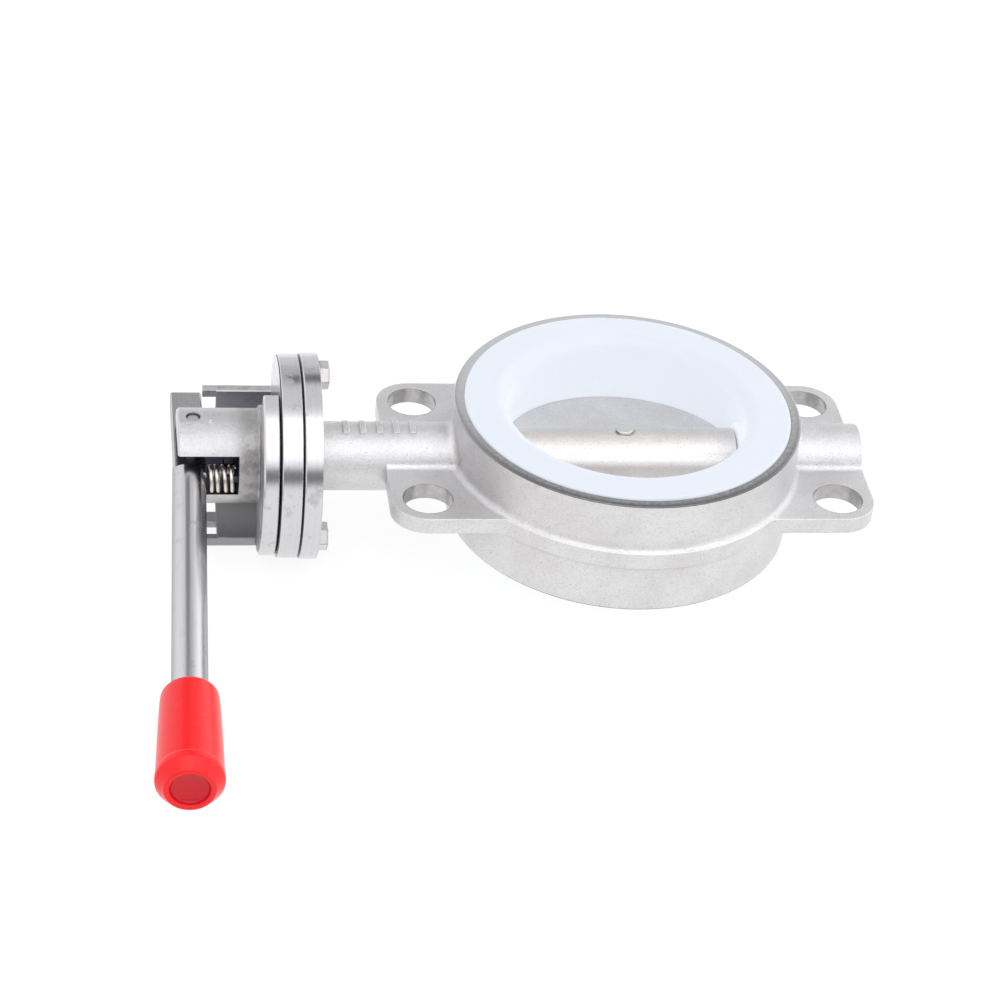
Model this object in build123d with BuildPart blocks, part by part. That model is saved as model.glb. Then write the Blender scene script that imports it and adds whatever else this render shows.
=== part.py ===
from build123d import *
import os
from math import cos, radians, sin, sqrt

os.makedirs("parts", exist_ok=True)

# Wafer butterfly valve, millimetres. The origin is the centre of the bore, +Z is the flow
# axis, and the stem lies along X with the hand lever at its -X end. The lever points to -Y.
# Angles about the stem start at -Y and grow towards +Z.

# Driving dimensions: body
ring_radius = 70.4          # outside of the cast ring
ring_half = 25.0            # half the ring's machined face-to-face width
rib_radius = 72.2           # rib round the middle of the ring
plate_half = 3.4            # half the thickness of the rib and of the four lugs
plate_x = 97.9              # ends of the lug plate
plate_y = 48.5              # sides of the lug plate
cast_fillet = 3.0
flange_fillet = 2.0         # at the root of the mounting flange
bolt_circle = 180.0         # pipe flange bolt circle
lug_hole_radius = 10.0
liner_bore_radius = 59.0    # bore of the ring, behind the liner
lip_pocket_radius = 66.4    # pocket in each face for the liner's lip
lip_pocket_depth = 3.0

# Driving dimensions: liner and disc
lip_radius = 66.2
lip_half = 26.0             # the lips stand 1 mm proud of the ring
lip_round = 0.9             # outer edge of the lips
liner_wall_radius = 56.0
throat_radius = 48.3
mouth_round = 5.7           # broad rounding from the lips into the throat
disc_radius = 48.0
disc_advance = 6.5          # degrees by which disc and hub lead the lever
boss_half = 46.3            # half the length of the disc's stem boss
boss_radius = 12.0
pad_gap = 0.4               # between the boss's ends and the liner's flat pads
pad_radius = 13.0

# Driving dimensions: stem line
stem_radius = 7.0
neck_radius = 13.95
neck_bore_radius = 9.0
running_gap = 0.05          # radial clearance of the turning fits
flange_right = -125.3
flange_left = -132.6
flange_radius = 41.5
plate_left = -141.5         # left face of the locator plate
locator_radius = 41.0
wall_inner = 35.5           # toothed wall of the locator
wall_outer = 39.3
wall_start = 167.0
wall_end = 284.0
notch_floor = -163.8
tooth_tip = -169.4
notch_width = 9.0
notch_pitch = 22.5
notch_count = 5
tooth_relief = 0.4          # by which the teeth are thinned from inside
corner_round = 0.7          # upright corners of the wall

# Driving dimensions: handle
hub_right = -141.8
sector_left = -148.3
sector_radius = 40.0
sector_from = -73.8
sector_to = 70.7
hub_radius = 19.1
hub_left = -180.8
slot_floor = -157.0
slot_half = 8.3
pivot_x = -174.6
pivot_radius = 2.5
pin_flat_depth = 0.4        # small flat milled on the hub where the pin's bore opens
pin_half = 18.0             # half the pivot pin's length: its ends lie just below the hub's flat
tongue_left = -182.3
tongue_right = -169.6
tongue_half = 4.0           # half the tongue's thickness
tongue_reach = 39.6
rod_radius = 6.7
rod_start = (-176.2, -16.0)
rod_finish = (-181.5, -191.0)
spring_y = -16.1
spring_radius = 4.8         # to the middle of the wire
spring_wire = 0.85
spring_right = -157.3
spring_left = -169.3
spring_turns = 4

# Driving dimensions: small parts
blind_end = 90.0            # closed end of the lower stem bore
ring_recess_radius = 11.6
ring_recess_depth = 2.2
bolt_radius = 3.0           # M6 screws
bolt_ring = 32.5
bolt_angles = (120.0, 300.0)
bolt_thread = 7.0           # depth of the threaded holes in the locator
hex_flats = 10.0
hex_height = 4.0
washer_thickness = 1.2
backing_half = 21.0
disc_half = 3.0             # half the plate's thickness
boss_flank = 17.0           # half the width of the boss with its fillets
flank_half = 44.3
pin_x = 0.4
pin_radius = 2.8
pin_head_radius = 3.6
pin_seat_depth = 0.5        # spot-faced seat of the pin's head in the boss
pin_head_height = 1.5
bar_start = -113.6          # row of plain raised bars cast round the top of the neck
bar_pitch = 6.7
bar_count = 5
bar_width = 2.4
bar_height = 0.7
bar_angle = 111.0           # far end of the bars
bar_sweep = 37.0            # degrees that they run round the neck
outer_bush = (-118.0, -130.2)   # right and left ends of the bushes in the neck and the boss
inner_bush = (-64.5, -80.0)
lower_bush = (84.0, 64.5)
packing_end = -103.0            # right end of the packing's washer
packing_start = -117.6          # left end of the first packing ring
packing_pitch = 4.2
packing_count = 3
square_left = -153.0        # outer end of the stem
square_from = -140.0
square_flats = 11.2
groove_left = -131.8
stud_radius = 1.6
bush_radius = 3.6           # bush pressed in the tongue, on the pivot pin
grip_mouth = 136.2          # distances along the rod from its start
grip_ring = 178.0
grip_end = 186.0
grip_bottom = 175.6


def on_stem(radius, angle):
    """Y and Z of a point at a radius and an angle about the stem."""
    return -radius * cos(radians(angle)), radius * sin(radians(angle))


def stem_plane(x):
    """Sketch plane across the stem: local x is +Y, local y is +Z, normal is +X."""
    return Plane(origin=(x, 0, 0), x_dir=(0, 1, 0), z_dir=(1, 0, 0))


def save(part, label):
    """Label a finished piece and write it to its own file."""
    part.label = label
    export_step(part, f"parts/{label}.step")


bolt_places = [on_stem(bolt_ring, angle) for angle in bolt_angles]
bar_plane = Plane(
    origin=(0, 0, 0), x_dir=(1, 0, 0), z_dir=(0, -sin(radians(bar_angle)), -cos(radians(bar_angle)))
)

# --------------------------------------------------------------------------- body
hole_x = bolt_circle / 2 * cos(radians(22.5))
hole_y = bolt_circle / 2 * sin(radians(22.5))
pocket_floor = ring_half - lip_pocket_depth
neck_plane = stem_plane(flange_left)
neck_root = -liner_bore_radius - 4          # inner end of the neck, inside the ring's wall

with BuildPart() as valve_body:
    # Rib and lug plate: one flat web whose corners run round the lug holes
    with BuildSketch(Plane.XY.offset(-plate_half)) as web:
        with BuildSketch(mode=Mode.PRIVATE) as lugs:
            Rectangle(2 * plate_x, 2 * plate_y)
            fillet(lugs.vertices(), 14.2)
        Circle(rib_radius)
        add(lugs.sketch)
        roots = web.vertices().filter_by(
            lambda v: abs((v.X**2 + v.Y**2) ** 0.5 - rib_radius) < 0.01 and abs(v.Y) > 40
        )
        fillet(roots, 7.0)
    extrude(amount=2 * plate_half)
    # Ring with its two faces
    with BuildSketch(Plane.XY.offset(-ring_half)):
        Circle(ring_radius)
    extrude(amount=2 * ring_half)
    # Neck towards the handle and blind boss opposite
    with BuildSketch(stem_plane(flange_right)):
        Circle(neck_radius)
    extrude(amount=neck_root - flange_right)
    with BuildSketch(stem_plane(-neck_root)):
        Circle(neck_radius)
    extrude(amount=plate_x + neck_root)
    # Casting fillets where ring, web, neck and boss meet
    web_level = valve_body.edges().filter_by(lambda e: abs(abs(e.center().Z) - plate_half) < 0.01)
    ring_roots = web_level.filter_by(GeomType.CIRCLE).filter_by(lambda e: abs(e.radius - ring_radius) < 0.01)
    neck_roots = web_level.filter_by(GeomType.LINE).filter_by(lambda e: abs(e.center().Y) < neck_radius)
    neck_rings = valve_body.edges().filter_by(GeomType.BSPLINE)
    fillet(ring_roots + neck_roots + neck_rings, cast_fillet)
    chamfer(valve_body.faces().sort_by(Axis.Z)[-1].edges(), 0.5)
    chamfer(valve_body.faces().sort_by(Axis.Z)[0].edges(), 0.5)
    # Mounting flange for the locator
    with BuildSketch(neck_plane):
        Circle(flange_radius)
    extrude(amount=flange_right - flange_left)
    flange_root = (
        valve_body.edges()
        .filter_by(GeomType.CIRCLE)
        .filter_by(lambda e: abs(e.radius - neck_radius) < 0.01 and abs(e.center().X - flange_right) < 0.01)
    )
    fillet(flange_root, flange_fillet)

    # Everything inside the ring: liner bore, lip pockets
    with BuildSketch(Plane.XZ):
        with BuildLine():
            Polyline(
                (0, -ring_half - 1),
                (lip_pocket_radius, -ring_half - 1),
                (lip_pocket_radius, -pocket_floor),
                (liner_bore_radius, -pocket_floor),
                (liner_bore_radius, pocket_floor),
                (lip_pocket_radius, pocket_floor),
                (lip_pocket_radius, ring_half + 1),
                (0, ring_half + 1),
                close=True,
            )
        make_face()
    revolve(axis=Axis.Z, mode=Mode.SUBTRACT)
    # Stem bores: through the neck, blind in the opposite boss
    with BuildSketch(neck_plane):
        Circle(neck_bore_radius)
    extrude(amount=-flange_left - liner_bore_radius + 5, mode=Mode.SUBTRACT)
    with BuildSketch(stem_plane(blind_end)):
        Circle(neck_bore_radius)
    extrude(amount=liner_bore_radius - 5 - blind_end, mode=Mode.SUBTRACT)
    # Recess for the retaining ring, in the flange's face
    with BuildSketch(neck_plane):
        Circle(ring_recess_radius)
    extrude(amount=ring_recess_depth, mode=Mode.SUBTRACT)
    # Lug holes and the two screw holes of the flange
    with Locations((0, 0, plate_half)):
        with GridLocations(2 * hole_x, 2 * hole_y, 2, 2):
            Hole(lug_hole_radius, depth=2 * plate_half)
    with BuildSketch(neck_plane):
        with Locations(*bolt_places):
            Circle(bolt_radius + 0.3)
    extrude(amount=flange_right - flange_left, mode=Mode.SUBTRACT)
    chamfer(valve_body.faces().sort_by(Axis.X)[0].edges().sort_by(SortBy.LENGTH)[-1], 0.7)
    # Row of plain raised bars across the top of the neck
    with BuildSketch(bar_plane):
        for index in range(bar_count):
            with Locations((bar_start + index * bar_pitch, neck_radius + bar_height - 1)):
                Rectangle(bar_width, 2)
    revolve(axis=Axis.X, revolution_arc=bar_sweep)

save(valve_body.part, "valve_body")

# --------------------------------------------------------------------------- liner
with BuildPart() as seat_liner:
    with BuildSketch(Plane.XZ):
        with BuildLine():
            Polyline(
                (throat_radius, lip_half),
                (lip_radius, lip_half),
                (lip_radius, pocket_floor + 0.05),
                (liner_wall_radius, pocket_floor + 0.05),
                (liner_wall_radius, -pocket_floor - 0.05),
                (lip_radius, -pocket_floor - 0.05),
                (lip_radius, -lip_half),
                (throat_radius, -lip_half),
                close=True,
            )
        make_face()
    revolve(axis=Axis.Z)
    lip_edges = (
        seat_liner.edges()
        .filter_by(GeomType.CIRCLE)
        .filter_by(lambda e: abs(abs(e.center().Z) - lip_half) < 0.01)
    )
    fillet(lip_edges.filter_by(lambda e: e.radius < liner_wall_radius), mouth_round)
    fillet(lip_edges.filter_by(lambda e: e.radius > liner_wall_radius), lip_round)
    # Flat pads that the ends of the disc's boss turn against
    with BuildSketch(stem_plane(boss_half + pad_gap)):
        Circle(pad_radius)
    extrude(amount=4, taper=-45)
    with BuildSketch(stem_plane(-boss_half - pad_gap)):
        Circle(pad_radius)
    extrude(amount=-4, taper=-45)
    with BuildSketch(stem_plane(-lip_radius)):
        Circle(stem_radius + running_gap)
    extrude(amount=2 * lip_radius, mode=Mode.SUBTRACT)

save(seat_liner.part, "seat_liner")

with BuildPart() as seat_backing_ring:
    with BuildSketch(Plane.XZ):
        with BuildLine():
            Polyline(
                (liner_wall_radius + 0.1, -backing_half),
                (liner_bore_radius - 0.1, -backing_half),
                (liner_bore_radius - 0.1, backing_half),
                (liner_wall_radius + 0.1, backing_half),
                close=True,
            )
        make_face()
    revolve(axis=Axis.Z)
    with BuildSketch(stem_plane(-lip_radius)):
        Circle(neck_bore_radius)
    extrude(amount=2 * lip_radius, mode=Mode.SUBTRACT)

save(seat_backing_ring.part, "seat_backing_ring")

# --------------------------------------------------------------------------- stem line, fixed pieces
def tube(right, left, outer, inner):
    """Plain ring or bush about the stem, from x = left to x = right."""
    with BuildPart() as ring:
        with BuildSketch(stem_plane(left)):
            Circle(outer)
            Circle(inner, mode=Mode.SUBTRACT)
        extrude(amount=right - left)
        chamfer(ring.edges().filter_by(GeomType.CIRCLE), 0.25)
    return ring.part


stem_bore = stem_radius + running_gap
bush_outer = neck_bore_radius - 0.02
save(tube(*outer_bush, bush_outer, stem_bore), "neck_bush_outer")
save(tube(*inner_bush, bush_outer, stem_bore), "neck_bush_inner")
save(tube(*lower_bush, bush_outer, stem_bore), "bottom_bush")
save(tube(packing_end, packing_end - 1.6, bush_outer, stem_bore), "packing_washer")

with BuildPart() as packing_rings:
    with BuildSketch(Plane.XZ):
        for index in range(packing_count):
            with BuildLine():
                left = packing_start + index * packing_pitch
                Polyline(
                    (left, stem_bore),
                    (left + 1.2, stem_bore + 0.9),
                    (left, bush_outer),
                    (left + 2.6, bush_outer),
                    (left + 3.8, stem_bore + 0.9),
                    (left + 2.6, stem_bore),
                    close=True,
                )
            make_face()
    revolve(axis=Axis.X)

save(packing_rings.part, "packing_rings")

with BuildPart() as thrust_pad:
    with BuildSketch(stem_plane(blind_end - 2.0)):
        Circle(bush_outer)
    extrude(amount=2.0)

save(thrust_pad.part, "thrust_pad")

# --------------------------------------------------------------------------- locator
with BuildPart() as locator_plate:
    with BuildSketch(stem_plane(plate_left)):
        Circle(locator_radius)
    extrude(amount=flange_left - plate_left)
    chamfer(locator_plate.edges().filter_by(GeomType.CIRCLE), 0.7)
    # Wall that stands on the plate, round the far and lower side
    with BuildSketch(stem_plane(plate_left + 1)):
        with BuildLine():
            start_in = on_stem(wall_inner, wall_start)
            start_out = on_stem(wall_outer, wall_start)
            end_in = on_stem(wall_inner, wall_end)
            end_out = on_stem(wall_outer, wall_end)
            middle = (wall_start + wall_end) / 2
            ThreePointArc(start_in, on_stem(wall_inner, middle), end_in)
            Line(end_in, end_out)
            ThreePointArc(end_out, on_stem(wall_outer, middle), start_out)
            Line(start_out, start_in)
        make_face()
    extrude(amount=tooth_tip - plate_left - 1)
    fillet(locator_plate.edges().filter_by(Axis.X), corner_round)
    # The teeth are thinned from inside, down to the notches' floor
    with BuildSketch(stem_plane(tooth_tip - 1)):
        Circle(wall_inner + tooth_relief)
    extrude(amount=notch_floor - tooth_tip + 1, mode=Mode.SUBTRACT)
    # Parallel-sided notches that the lever's tongue drops into
    for index in range(notch_count):
        y, z = on_stem(1, 180 + index * notch_pitch)
        with BuildSketch(Plane(origin=(0, 0, 0), x_dir=(1, 0, 0), z_dir=(0, y, z)).offset(wall_inner - 3)):
            with Locations(((tooth_tip + notch_floor) / 2 - 1, 0)):
                Rectangle(notch_floor - tooth_tip + 2, notch_width)
        extrude(amount=wall_outer - wall_inner + 6, mode=Mode.SUBTRACT)
    with BuildSketch(stem_plane(plate_left - 1)):
        Circle(stem_radius + 1)
    extrude(amount=flange_left - plate_left + 2, mode=Mode.SUBTRACT)
    with BuildSketch(stem_plane(flange_left)):
        with Locations(*bolt_places):
            Circle(bolt_radius + 0.02)
    extrude(amount=-bolt_thread, mode=Mode.SUBTRACT)

save(locator_plate.part, "locator_plate")

with BuildPart() as locator_bolts:
    with BuildSketch(stem_plane(flange_right + washer_thickness)):
        with Locations(*bolt_places):
            RegularPolygon(hex_flats / 2, 6, major_radius=False)
    extrude(amount=hex_height)
    with BuildSketch(stem_plane(flange_right + washer_thickness)):
        with Locations(*bolt_places):
            Circle(bolt_radius)
    extrude(amount=flange_left - flange_right - washer_thickness - bolt_thread + 0.3)
    chamfer(locator_bolts.faces().sort_by(Axis.X)[-2:].edges(), 0.4)

save(locator_bolts.part, "locator_bolts")

with BuildPart() as bolt_washers:
    with BuildSketch(stem_plane(flange_right)):
        with Locations(*bolt_places):
            Circle(5.6)
            Circle(bolt_radius + 0.2, mode=Mode.SUBTRACT)
    extrude(amount=washer_thickness)

save(bolt_washers.part, "bolt_washers")

# --------------------------------------------------------------------------- disc and stem
def advanced(part):
    """Turn a piece drawn square to the bore by the angle that the disc leads the lever."""
    return part.rotate(Axis.X, -disc_advance)


with BuildPart() as disc_blank:
    # Flat plate with a spherical edge
    rim = sqrt(disc_radius**2 - disc_half**2)
    with BuildSketch(Plane.XZ):
        with BuildLine():
            Polyline((rim, disc_half), (0, disc_half), (0, -disc_half), (rim, -disc_half))
            ThreePointArc((rim, -disc_half), (disc_radius, 0), (rim, disc_half))
        make_face()
    revolve(axis=Axis.Z)
    # Flats where the disc meets the liner round the stem
    with Locations((-boss_half - 5.1, 0, 0), (boss_half + 5.1, 0, 0)):
        Box(10, 4 * boss_flank, 4 * boss_flank, mode=Mode.SUBTRACT)
    # Stem boss, with broad fillets down to the plate
    with BuildSketch(stem_plane(-flank_half)) as boss_section:
        Circle(boss_radius)
        Rectangle(2 * boss_flank, 2 * disc_half)
        flank_roots = boss_section.vertices().filter_by(
            lambda v: abs((v.X**2 + v.Y**2) ** 0.5 - boss_radius) < 0.01
        )
        fillet(flank_roots, 6.5)
    extrude(amount=2 * flank_half)
    with BuildSketch(stem_plane(-boss_half)):
        Circle(boss_radius)
    extrude(amount=2 * boss_half)
    boss_ends = (
        disc_blank.edges()
        .filter_by(GeomType.CIRCLE)
        .filter_by(lambda e: abs(abs(e.center().X) - boss_half) < 0.01)
    )
    chamfer(boss_ends, 0.8)
    # Bore and seat of the disc pin, then the stem bore
    with BuildSketch(Plane.XY.offset(-boss_radius - 2)):
        with Locations((pin_x, 0)):
            Circle(pin_radius + 0.02)
    extrude(amount=2 * boss_radius + 4, mode=Mode.SUBTRACT)
    with BuildSketch(Plane.XY.offset(boss_radius - pin_seat_depth)):
        with Locations((pin_x, 0)):
            Circle(pin_head_radius + 0.8)
    extrude(amount=2, mode=Mode.SUBTRACT)
    with BuildSketch(stem_plane(-disc_radius - 5)):
        Circle(stem_radius + 0.02)
    extrude(amount=2 * disc_radius + 10, mode=Mode.SUBTRACT)

save(advanced(disc_blank.part), "disc")

with BuildPart() as disc_pin_blank:
    with BuildSketch(Plane.XY.offset(-boss_radius + 0.4)):
        with Locations((pin_x, 0)):
            Circle(pin_radius)
    extrude(amount=2 * boss_radius - 0.9)
    with BuildSketch(Plane.XY.offset(boss_radius - pin_seat_depth)):
        with Locations((pin_x, 0)):
            Circle(pin_head_radius)
    extrude(amount=pin_head_height)
    fillet(disc_pin_blank.faces().sort_by(Axis.Z)[-1].edges(), 0.6)

save(advanced(disc_pin_blank.part), "disc_pin")

with BuildPart() as stem_blank:
    with BuildSketch(stem_plane(square_from)):
        Circle(stem_radius)
    extrude(amount=blind_end - 2.4 - square_from)
    chamfer(stem_blank.faces().sort_by(Axis.X)[-1].edges(), 0.8)
    # Square end that drives the hub
    with BuildSketch(stem_plane(square_left)):
        Circle(stem_radius)
        Rectangle(square_flats, square_flats, mode=Mode.INTERSECT)
    extrude(amount=square_from - square_left)
    # Groove for the retaining ring
    with BuildSketch(stem_plane(groove_left)):
        Circle(stem_radius + 1)
        Circle(stem_radius - 0.8, mode=Mode.SUBTRACT)
    extrude(amount=1.2, mode=Mode.SUBTRACT)
    with Locations((pin_x, 0, stem_radius)):
        Hole(pin_radius + 0.02, depth=2 * stem_radius)
    with BuildSketch(stem_plane(square_left)):
        Circle(bolt_radius + 0.02)
    extrude(amount=12, mode=Mode.SUBTRACT)

save(advanced(stem_blank.part), "stem")

with BuildPart() as retaining_ring:
    with BuildSketch(stem_plane(groove_left + 0.1)):
        Circle(stem_radius + 2.6)
        Circle(stem_radius - 0.75, mode=Mode.SUBTRACT)
        with Locations((-stem_radius - 1, 0)):
            Rectangle(6, 4, mode=Mode.SUBTRACT)
    extrude(amount=1.0)

save(retaining_ring.part, "retaining_ring")

# --------------------------------------------------------------------------- handle hub
with BuildPart() as hub_blank:
    with BuildSketch(stem_plane(hub_left)):
        Circle(hub_radius)
    extrude(amount=hub_right - hub_left)
    chamfer(hub_blank.faces().sort_by(Axis.X)[0].edges(), 0.8)
    # Sector flange that turns in front of the locator
    with BuildSketch(stem_plane(sector_left)):
        with BuildLine():
            first = on_stem(sector_radius, sector_from - disc_advance)
            last = on_stem(sector_radius, sector_to - disc_advance)
            crown = on_stem(sector_radius, (sector_from + sector_to) / 2 - disc_advance)
            Line((0, 0), first)
            ThreePointArc(first, crown, last)
            Line(last, (0, 0))
        make_face()
        Circle(hub_radius + 1.2)
    extrude(amount=hub_right - sector_left)
    rim_edges = (
        hub_blank.edges()
        .filter_by(GeomType.CIRCLE)
        .filter_by(lambda e: abs(e.radius - sector_radius) < 0.01)
    )
    chamfer(rim_edges, 0.7)
    barrel_root = (
        hub_blank.edges()
        .filter_by(GeomType.CIRCLE)
        .filter_by(lambda e: abs(e.radius - hub_radius) < 0.01 and abs(e.center().X - sector_left) < 0.01)
    )
    fillet(barrel_root, 1.0)
    # Slot for the lever, open at the end and through both sides
    with BuildSketch(Plane.XZ.offset(-hub_radius - 2)):
        with Locations(((hub_left + slot_floor) / 2 - 1, 0)):
            Rectangle(slot_floor - hub_left + 2, 2 * slot_half)
    extrude(amount=2 * hub_radius + 4, mode=Mode.SUBTRACT)
    # Square socket for the stem, and the screw hole through the slot's floor
    with BuildSketch(stem_plane(square_left - 0.2)):
        Rectangle(square_flats + 0.04, square_flats + 0.04)
        Circle(stem_radius + 0.04, mode=Mode.INTERSECT)
    extrude(amount=hub_right - square_left + 1, mode=Mode.SUBTRACT)
    with BuildSketch(stem_plane(square_left + 1)):
        Circle(bolt_radius + 0.3)
    extrude(amount=slot_floor - square_left - 2, mode=Mode.SUBTRACT)

with BuildPart() as handle_hub:
    add(advanced(hub_blank.part))
    # Flat and bore for the pivot pin
    with BuildSketch(Plane.XY.offset(hub_radius - pin_flat_depth)):
        with Locations(((hub_left + pivot_x) / 2, 0)):
            Rectangle(pivot_x - hub_left + 7, 14)
    extrude(amount=3, mode=Mode.SUBTRACT)
    with Locations((pivot_x, 0, hub_radius)):
        Hole(pivot_radius + 0.02, depth=2 * hub_radius)
    pin_mouth = (
        handle_hub.edges()
        .filter_by(GeomType.CIRCLE)
        .filter_by(lambda e: abs(e.radius - pivot_radius - 0.02) < 0.01 and e.center().Z > hub_radius - 1)
    )
    chamfer(pin_mouth, 0.35)
    # Seat of the spring's guide stud in the slot's floor
    with BuildSketch(stem_plane(slot_floor - 1)):
        with Locations((spring_y, 0)):
            Circle(stud_radius + 0.02)
    extrude(amount=5, mode=Mode.SUBTRACT)
    # Cast pip on the barrel
    with Locations((-167.6, *on_stem(hub_radius - 0.2, 80.0))):
        Sphere(1.0)

save(handle_hub.part, "handle_hub")

with BuildPart() as hub_washer:
    with BuildSketch(stem_plane(slot_floor - 1.5)):
        Circle(7.0)
        Circle(bolt_radius + 0.2, mode=Mode.SUBTRACT)
    extrude(amount=1.5)

save(hub_washer.part, "hub_washer")

with BuildPart() as hub_screw:
    with BuildSketch(stem_plane(slot_floor - 1.5 - hex_height)):
        RegularPolygon(hex_flats / 2, 6, major_radius=False)
    extrude(amount=hex_height)
    chamfer(hub_screw.faces().sort_by(Axis.X)[0].edges(), 0.5)
    with BuildSketch(stem_plane(slot_floor - 1.5)):
        Circle(bolt_radius)
    extrude(amount=14)

save(hub_screw.part, "hub_screw")

with BuildPart() as spring_stud:
    with BuildSketch(stem_plane(slot_floor - 6)):
        with Locations((spring_y, 0)):
            Circle(stud_radius)
    extrude(amount=9.8)
    chamfer(spring_stud.faces().sort_by(Axis.X)[0].edges(), 0.4)

save(spring_stud.part, "spring_stud")

with BuildPart() as pivot_pin:
    with BuildSketch(Plane.XY.offset(-pin_half)):
        with Locations((pivot_x, 0)):
            Circle(pivot_radius)
    extrude(amount=2 * pin_half)
    chamfer(pivot_pin.edges().filter_by(GeomType.CIRCLE), 0.3)

save(pivot_pin.part, "pivot_pin")

# Compression spring between the slot's floor and the lever
spring_length = spring_right - spring_left - 2 * spring_wire
with BuildPart() as latch_spring:
    with BuildLine() as coil:
        Helix(
            pitch=spring_length / spring_turns,
            height=spring_length,
            radius=spring_radius,
            center=(spring_left + spring_wire, spring_y, 0),
            direction=(1, 0, 0),
        )
    with BuildSketch(Plane(origin=coil.line @ 0, z_dir=coil.line % 0)):
        Circle(spring_wire)
    sweep(path=coil.line, is_frenet=True)

save(latch_spring.part, "latch_spring")

# --------------------------------------------------------------------------- lever
rod_axis = Vector(rod_finish[0] - rod_start[0], rod_finish[1] - rod_start[1], 0)
rod_direction = rod_axis.normalized()


def rod_plane(along):
    """Sketch plane across the rod at a distance along it: local x is horizontal, local y is +Z."""
    place = Vector(rod_start[0], rod_start[1], 0) + rod_direction * along
    return Plane(origin=place, x_dir=(-rod_direction.Y, rod_direction.X, 0), z_dir=rod_direction)


with BuildPart() as lever_rod:
    # Round rod; its hub end is milled flat above and below into the tongue
    with BuildSketch(rod_plane(-6)):
        Circle(rod_radius)
    extrude(amount=rod_axis.length + 6)
    chamfer(lever_rod.faces().sort_by(Axis.Y)[0].edges(), 0.8)
    with BuildSketch(Plane.XZ.offset(-tongue_reach)):
        with Locations(((tongue_left + tongue_right) / 2, 0)):
            RectangleRounded(tongue_right - tongue_left, 2 * tongue_half, 0.8)
    extrude(amount=tongue_reach - rod_start[1] + 2)
    # Run-outs of the two milled flats
    with BuildSketch(Plane.YZ.offset(tongue_left - 3)):
        with BuildLine():
            Polyline(
                (rod_start[1] + 14, tongue_half),
                (rod_start[1] + 2.4, tongue_half),
                (rod_start[1], rod_radius + 0.6),
                (rod_start[1] + 14, rod_radius + 0.6),
                close=True,
            )
        make_face()
        with BuildLine():
            Polyline(
                (rod_start[1] + 14, -tongue_half),
                (rod_start[1] - 1.0, -tongue_half),
                (rod_start[1] - 4.0, -rod_radius - 0.6),
                (rod_start[1] + 14, -rod_radius - 0.6),
                close=True,
            )
        make_face()
    extrude(amount=tongue_right - tongue_left + 6, mode=Mode.SUBTRACT)
    with Locations((pivot_x, 0, tongue_half)):
        Hole(bush_radius + 0.02, depth=2 * tongue_half)

save(lever_rod.part, "lever_rod")

with BuildPart() as pivot_bush:
    with BuildSketch(Plane.XY.offset(-tongue_half)):
        with Locations((pivot_x, 0)):
            Circle(bush_radius)
            Circle(pivot_radius + running_gap, mode=Mode.SUBTRACT)
    extrude(amount=2 * tongue_half)

save(pivot_bush.part, "pivot_bush")

with BuildPart() as grip_blank:
    with BuildSketch(Plane.XY):
        with BuildLine():
            Polyline(
                (rod_radius + 0.05, grip_mouth),
                (10.0, grip_mouth),
                (10.65, grip_mouth + 1.2),
                (12.05, grip_ring),
                (12.25, grip_ring + 0.2),
                (12.3, grip_end - 4.6),
                (9.4, grip_end),
                (7.4, grip_end),
                (6.6, grip_end - 2.0),
                (0, grip_end - 2.4),
                (0, grip_bottom),
                (rod_radius + 0.05, grip_bottom),
                close=True,
            )
        make_face()
    revolve(axis=Axis.Y)

# The blank is drawn along +Y from the rod's start, then laid on the rod
grip = Location(rod_plane(0)) * Location((0, 0, 0), (1, 0, 0), 90) * grip_blank.part
save(grip, "grip")
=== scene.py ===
import math
import random

import bmesh
import bpy
from mathutils import Matrix, Vector


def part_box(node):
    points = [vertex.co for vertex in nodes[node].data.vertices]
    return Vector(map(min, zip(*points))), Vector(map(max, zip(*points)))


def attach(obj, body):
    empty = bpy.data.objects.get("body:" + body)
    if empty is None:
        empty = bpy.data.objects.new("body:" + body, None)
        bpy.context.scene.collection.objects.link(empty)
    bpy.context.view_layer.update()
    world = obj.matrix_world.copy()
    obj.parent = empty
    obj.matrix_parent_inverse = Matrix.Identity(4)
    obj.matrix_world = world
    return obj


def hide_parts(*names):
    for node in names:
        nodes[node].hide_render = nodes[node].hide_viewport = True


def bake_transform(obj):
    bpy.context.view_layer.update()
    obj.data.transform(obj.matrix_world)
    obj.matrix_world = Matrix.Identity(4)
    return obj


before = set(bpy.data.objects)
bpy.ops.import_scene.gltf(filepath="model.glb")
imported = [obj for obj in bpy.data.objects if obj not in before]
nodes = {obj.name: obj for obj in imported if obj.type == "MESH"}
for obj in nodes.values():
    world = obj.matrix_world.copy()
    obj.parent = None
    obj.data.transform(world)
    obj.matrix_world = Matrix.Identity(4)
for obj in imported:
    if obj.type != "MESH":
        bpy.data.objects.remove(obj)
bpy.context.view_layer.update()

MM = 0.001

# Places read from the frame, in metres
body_low, body_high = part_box("valve_body")
plate_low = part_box("locator_plate")[0]
spring_low, spring_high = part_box("latch_spring")

floor_level = min(body_low.z, plate_low.z)
flange_radius = body_high.z                  # the mounting flange is the body's tallest piece
flange_face = body_low.x                     # where the locator plate meets the flange
hub_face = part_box("handle_hub")[1].x         # where the hub's sector meets the locator plate
pivot_x = sum(corner.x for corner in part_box("pivot_pin")) / 2

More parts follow.
